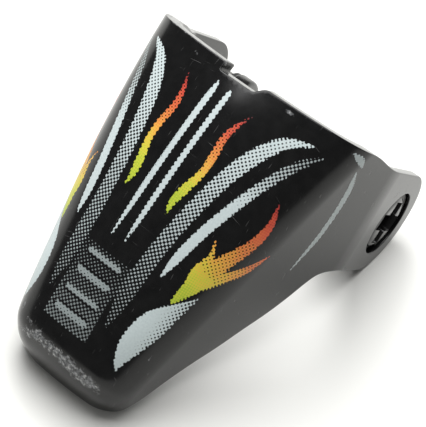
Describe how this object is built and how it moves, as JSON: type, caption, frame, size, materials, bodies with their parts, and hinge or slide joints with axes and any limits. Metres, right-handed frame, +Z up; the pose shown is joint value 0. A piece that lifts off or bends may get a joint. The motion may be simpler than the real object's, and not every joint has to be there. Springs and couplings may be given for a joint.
{
  "type": "goalie mask",
  "caption": "Toy flip-up goalie mask: tapered moulded face shell with two ear lugs, each carrying a turning axle hub held by a clip and a washer.",
  "frame": {"origin": "middle of the bounding box footprint, on the table plane that touches the chin rim and both lug ends", "axes": "+X towards the wearer's right ear lug's side of the row, across the face along the pivot axis; +Y from the chin towards the ear lugs, level; +Z up from the table"},
  "size_m": [0.0264, 0.0402, 0.026],
  "materials": {
    "shell_plastic": null,
    "hub_plastic": "black acetal with a moulded sheen",
    "clip_steel": "blackened spring steel",
    "washer_rubber": "dull black elastomer"
  },
  "bodies": {
    "shell": {"mask_shell": "shell_plastic"},
    "right_hub": {"right_pivot_hub": "hub_plastic", "right_retaining_ring": "clip_steel", "right_friction_washer": "washer_rubber"},
    "left_hub": {"left_pivot_hub": "hub_plastic", "left_retaining_ring": "clip_steel", "left_friction_washer": "washer_rubber"}
  },
  "joints": [
    {"name": "right_ear_pivot", "type": "hinge", "parent": "shell", "child": "right_hub", "pos_m": [0.0105, 0.01442, 0.00565], "axis": [1, 0, 0], "continuous": true},
    {"name": "left_ear_pivot", "type": "hinge", "parent": "shell", "child": "left_hub", "pos_m": [-0.0105, 0.01442, 0.00565], "axis": [1, 0, 0], "continuous": true}
  ]
}
